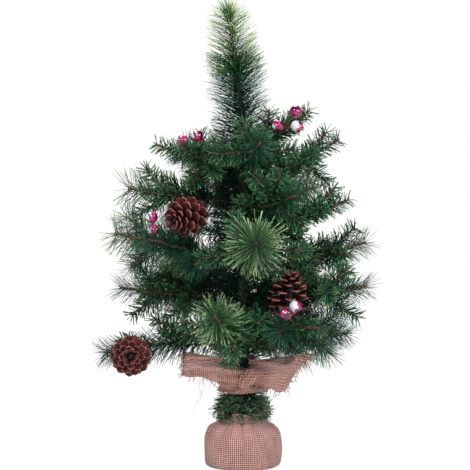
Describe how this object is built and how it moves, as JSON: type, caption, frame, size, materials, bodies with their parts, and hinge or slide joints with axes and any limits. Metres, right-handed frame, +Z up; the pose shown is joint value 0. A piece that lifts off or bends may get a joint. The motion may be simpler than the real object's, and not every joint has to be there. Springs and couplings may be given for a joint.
{
  "type": "artificial tabletop tree",
  "caption": "Small artificial conifer of wired branches on a steel pole, with pine cones and berries, a burlap ribbon round its trunk and a weighted burlap sack as its base.",
  "frame": {"origin": "centre of the underside of the sack, on the table", "axes": "+Z up along the pole to the top tip, -Y to the front, +X to the right as seen from the front"},
  "size_m": [0.3558, 0.3263, 0.602],
  "materials": {
    "burlap": "matte",
    "twine": "matte",
    "pot_plastic": "matte",
    "cast_weight": "matte",
    "pole_paint": "satin",
    "wrap_tape": "matte",
    "tinsel_film": "satin",
    "branch_wire": "satin",
    "needle_soft": "satin",
    "needle_flat": "satin",
    "needle_fine": "satin",
    "cone_wood": "satin",
    "berry_lacquer": "gloss"
  },
  "bodies": {
    "trunk": {"base_pot": "pot_plastic", "base_weight": "cast_weight", "branch_wrap": "wrap_tape", "burlap_sack": "burlap", "burlap_sash": "burlap", "leader_needles": "needle_soft", "leader_wire": "branch_wire", "sack_tie": "twine", "trunk_pole": "pole_paint", "trunk_tinsel": "tinsel_film"},
    "top_right": {"top_right_wire": "branch_wire", "top_right_needles": "needle_flat", "top_right_berries": "berry_lacquer"},
    "top_front": {"top_front_wire": "branch_wire", "top_front_needles": "needle_fine"},
    "top_left": {"top_left_wire": "branch_wire", "top_left_needles": "needle_flat", "top_left_berries": "berry_lacquer"},
    "upper_right": {"upper_right_wire": "branch_wire", "upper_right_needles": "needle_flat"},
    "upper_front_right": {"upper_front_right_wire": "branch_wire", "upper_front_right_needles": "needle_fine"},
    "upper_left": {"upper_left_wire": "branch_wire", "upper_left_needles": "needle_soft"},
    "upper_back_left": {"upper_back_left_wire": "branch_wire", "upper_back_left_needles": "needle_soft"},
    "upper_back_right": {"upper_back_right_wire": "branch_wire", "upper_back_right_needles": "needle_flat"},
    "mid_right": {"mid_right_wire": "branch_wire", "mid_right_needles": "needle_flat"},
    "mid_front": {"mid_front_wire": "branch_wire", "mid_front_needles": "needle_soft"},
    "mid_left": {"mid_left_wire": "branch_wire", "mid_left_needles": "needle_soft", "mid_left_cone": "cone_wood", "mid_left_berries": "berry_lacquer"},
    "mid_back": {"mid_back_wire": "branch_wire", "mid_back_needles": "needle_fine"},
    "outer_right": {"outer_right_wire": "branch_wire", "outer_right_needles": "needle_fine"},
    "low_left": {"low_left_wire": "branch_wire", "low_left_needles": "needle_fine"},
    "low_right": {"low_right_wire": "branch_wire", "low_right_needles": "needle_fine"},
    "low_back_left": {"low_back_left_wire": "branch_wire", "low_back_left_needles": "needle_flat"},
    "low_back_right": {"low_back_right_wire": "branch_wire", "low_back_right_needles": "needle_fine"},
    "bottom_left": {"bottom_left_wire": "branch_wire", "bottom_left_needles": "needle_fine", "bottom_left_cone": "cone_wood"},
    "bottom_front": {"bottom_front_wire": "branch_wire", "bottom_front_needles": "needle_soft"},
    "bottom_right": {"bottom_right_wire": "branch_wire", "bottom_right_needles": "needle_fine"},
    "bottom_front_right": {"bottom_front_right_wire": "branch_wire", "bottom_front_right_needles": "needle_flat", "bottom_front_right_cone": "cone_wood", "bottom_front_right_berries": "berry_lacquer"}
  },
  "joints": [
    {"name": "top_right_bend", "type": "hinge", "parent": "trunk", "child": "top_right", "pos_m": [0.00946, -0.00382, 0.404], "axis": [-0.3746, -0.9272, 0], "range_deg": [-12, 18], "deforming": ["top_right_needles"]},
    {"name": "top_front_bend", "type": "hinge", "parent": "trunk", "child": "top_front", "pos_m": [0.00195, -0.01001, 0.392], "axis": [-0.9816, -0.1908, 0], "range_deg": [-12, 18], "deforming": ["top_front_needles"]},
    {"name": "top_left_bend", "type": "hinge", "parent": "trunk", "child": "top_left", "pos_m": [-0.01005, -0.00177, 0.384], "axis": [-0.1736, 0.9848, 0], "range_deg": [-12, 18], "deforming": ["top_left_needles"]},
    {"name": "upper_right_bend", "type": "hinge", "parent": "trunk", "child": "upper_right", "pos_m": [0.01018, -0.00071, 0.362], "axis": [-0.0698, -0.9976, 0], "range_deg": [-12, 18], "deforming": ["upper_right_needles"]},
    {"name": "upper_front_right_bend", "type": "hinge", "parent": "trunk", "child": "upper_front_right", "pos_m": [0.0051, -0.00883, 0.328], "axis": [-0.866, -0.5, 0], "range_deg": [-12, 18], "deforming": ["upper_front_right_needles"]},
    {"name": "upper_left_bend", "type": "hinge", "parent": "trunk", "child": "upper_left", "pos_m": [-0.0099, 0.00247, 0.336], "axis": [0.2419, 0.9703, 0], "range_deg": [-12, 18], "deforming": ["upper_left_needles"]},
    {"name": "upper_back_left_bend", "type": "hinge", "parent": "trunk", "child": "upper_back_left", "pos_m": [-0.00447, 0.00917, 0.366], "axis": [0.8988, 0.4384, 0], "range_deg": [-12, 18], "deforming": ["upper_back_left_needles"]},
    {"name": "upper_back_right_bend", "type": "hinge", "parent": "trunk", "child": "upper_back_right", "pos_m": [0.00447, 0.00917, 0.34], "axis": [0.8988, -0.4384, 0], "range_deg": [-12, 18], "deforming": ["upper_back_right_needles"]},
    {"name": "mid_right_bend", "type": "hinge", "parent": "trunk", "child": "mid_right", "pos_m": [0.0099, -0.00247, 0.3], "axis": [-0.2419, -0.9703, 0], "range_deg": [-12, 18], "deforming": ["mid_right_needles"]},
    {"name": "mid_front_bend", "type": "hinge", "parent": "trunk", "child": "mid_front", "pos_m": [0.00107, -0.01014, 0.276], "axis": [-0.9945, -0.1045, 0], "range_deg": [-9, 18], "deforming": ["mid_front_needles"]},
    {"name": "mid_left_bend", "type": "hinge", "parent": "trunk", "child": "mid_left", "pos_m": [-0.00998, -0.00212, 0.268], "axis": [-0.2079, 0.9781, 0], "range_deg": [-12, 18], "deforming": ["mid_left_needles"]},
    {"name": "mid_back_bend", "type": "hinge", "parent": "trunk", "child": "mid_back", "pos_m": [0, 0.0102, 0.28], "axis": [1, 0, 0], "range_deg": [-12, 18], "deforming": ["mid_back_needles"]},
    {"name": "outer_right_bend", "type": "hinge", "parent": "trunk", "child": "outer_right", "pos_m": [0.01014, 0.00107, 0.252], "axis": [0.1045, -0.9945, 0], "range_deg": [-12, 18], "deforming": ["outer_right_needles"]},
    {"name": "low_left_bend", "type": "hinge", "parent": "trunk", "child": "low_left", "pos_m": [-0.01019, 0.00036, 0.216], "axis": [0.0349, 0.9994, 0], "range_deg": [-12, 18], "deforming": ["low_left_needles"]},
    {"name": "low_right_bend", "type": "hinge", "parent": "trunk", "child": "low_right", "pos_m": [0.00932, -0.00415, 0.206], "axis": [-0.4067, -0.9135, 0], "range_deg": [-12, 18], "deforming": ["low_right_needles"]},
    {"name": "low_back_left_bend", "type": "hinge", "parent": "trunk", "child": "low_back_left", "pos_m": [-0.00683, 0.00758, 0.226], "axis": [0.7431, 0.6691, 0], "range_deg": [-12, 18], "deforming": ["low_back_left_needles"]},
    {"name": "low_back_right_bend", "type": "hinge", "parent": "trunk", "child": "low_back_right", "pos_m": [0.00628, 0.00804, 0.214], "axis": [0.788, -0.6157, 0], "range_deg": [-12, 18], "deforming": ["low_back_right_needles"]},
    {"name": "bottom_left_bend", "type": "hinge", "parent": "trunk", "child": "bottom_left", "pos_m": [-0.0097, -0.00315, 0.168], "axis": [-0.309, 0.9511, 0], "range_deg": [-10, 18], "deforming": ["bottom_left_needles"]},
    {"name": "bottom_front_bend", "type": "hinge", "parent": "trunk", "child": "bottom_front", "pos_m": [-0.00247, -0.0099, 0.16], "axis": [-0.9703, 0.2419, 0], "range_deg": [-12, 18], "deforming": ["bottom_front_needles"]},
    {"name": "bottom_right_bend", "type": "hinge", "parent": "trunk", "child": "bottom_right", "pos_m": [0.0099, 0.00247, 0.164], "axis": [0.2419, -0.9703, 0], "range_deg": [-12, 18], "deforming": ["bottom_right_needles"]},
    {"name": "bottom_front_right_bend", "type": "hinge", "parent": "trunk", "child": "bottom_front_right", "pos_m": [0.00628, -0.00804, 0.188], "axis": [-0.788, -0.6157, 0], "range_deg": [-12, 9], "deforming": ["bottom_front_right_needles"]}
  ]
}
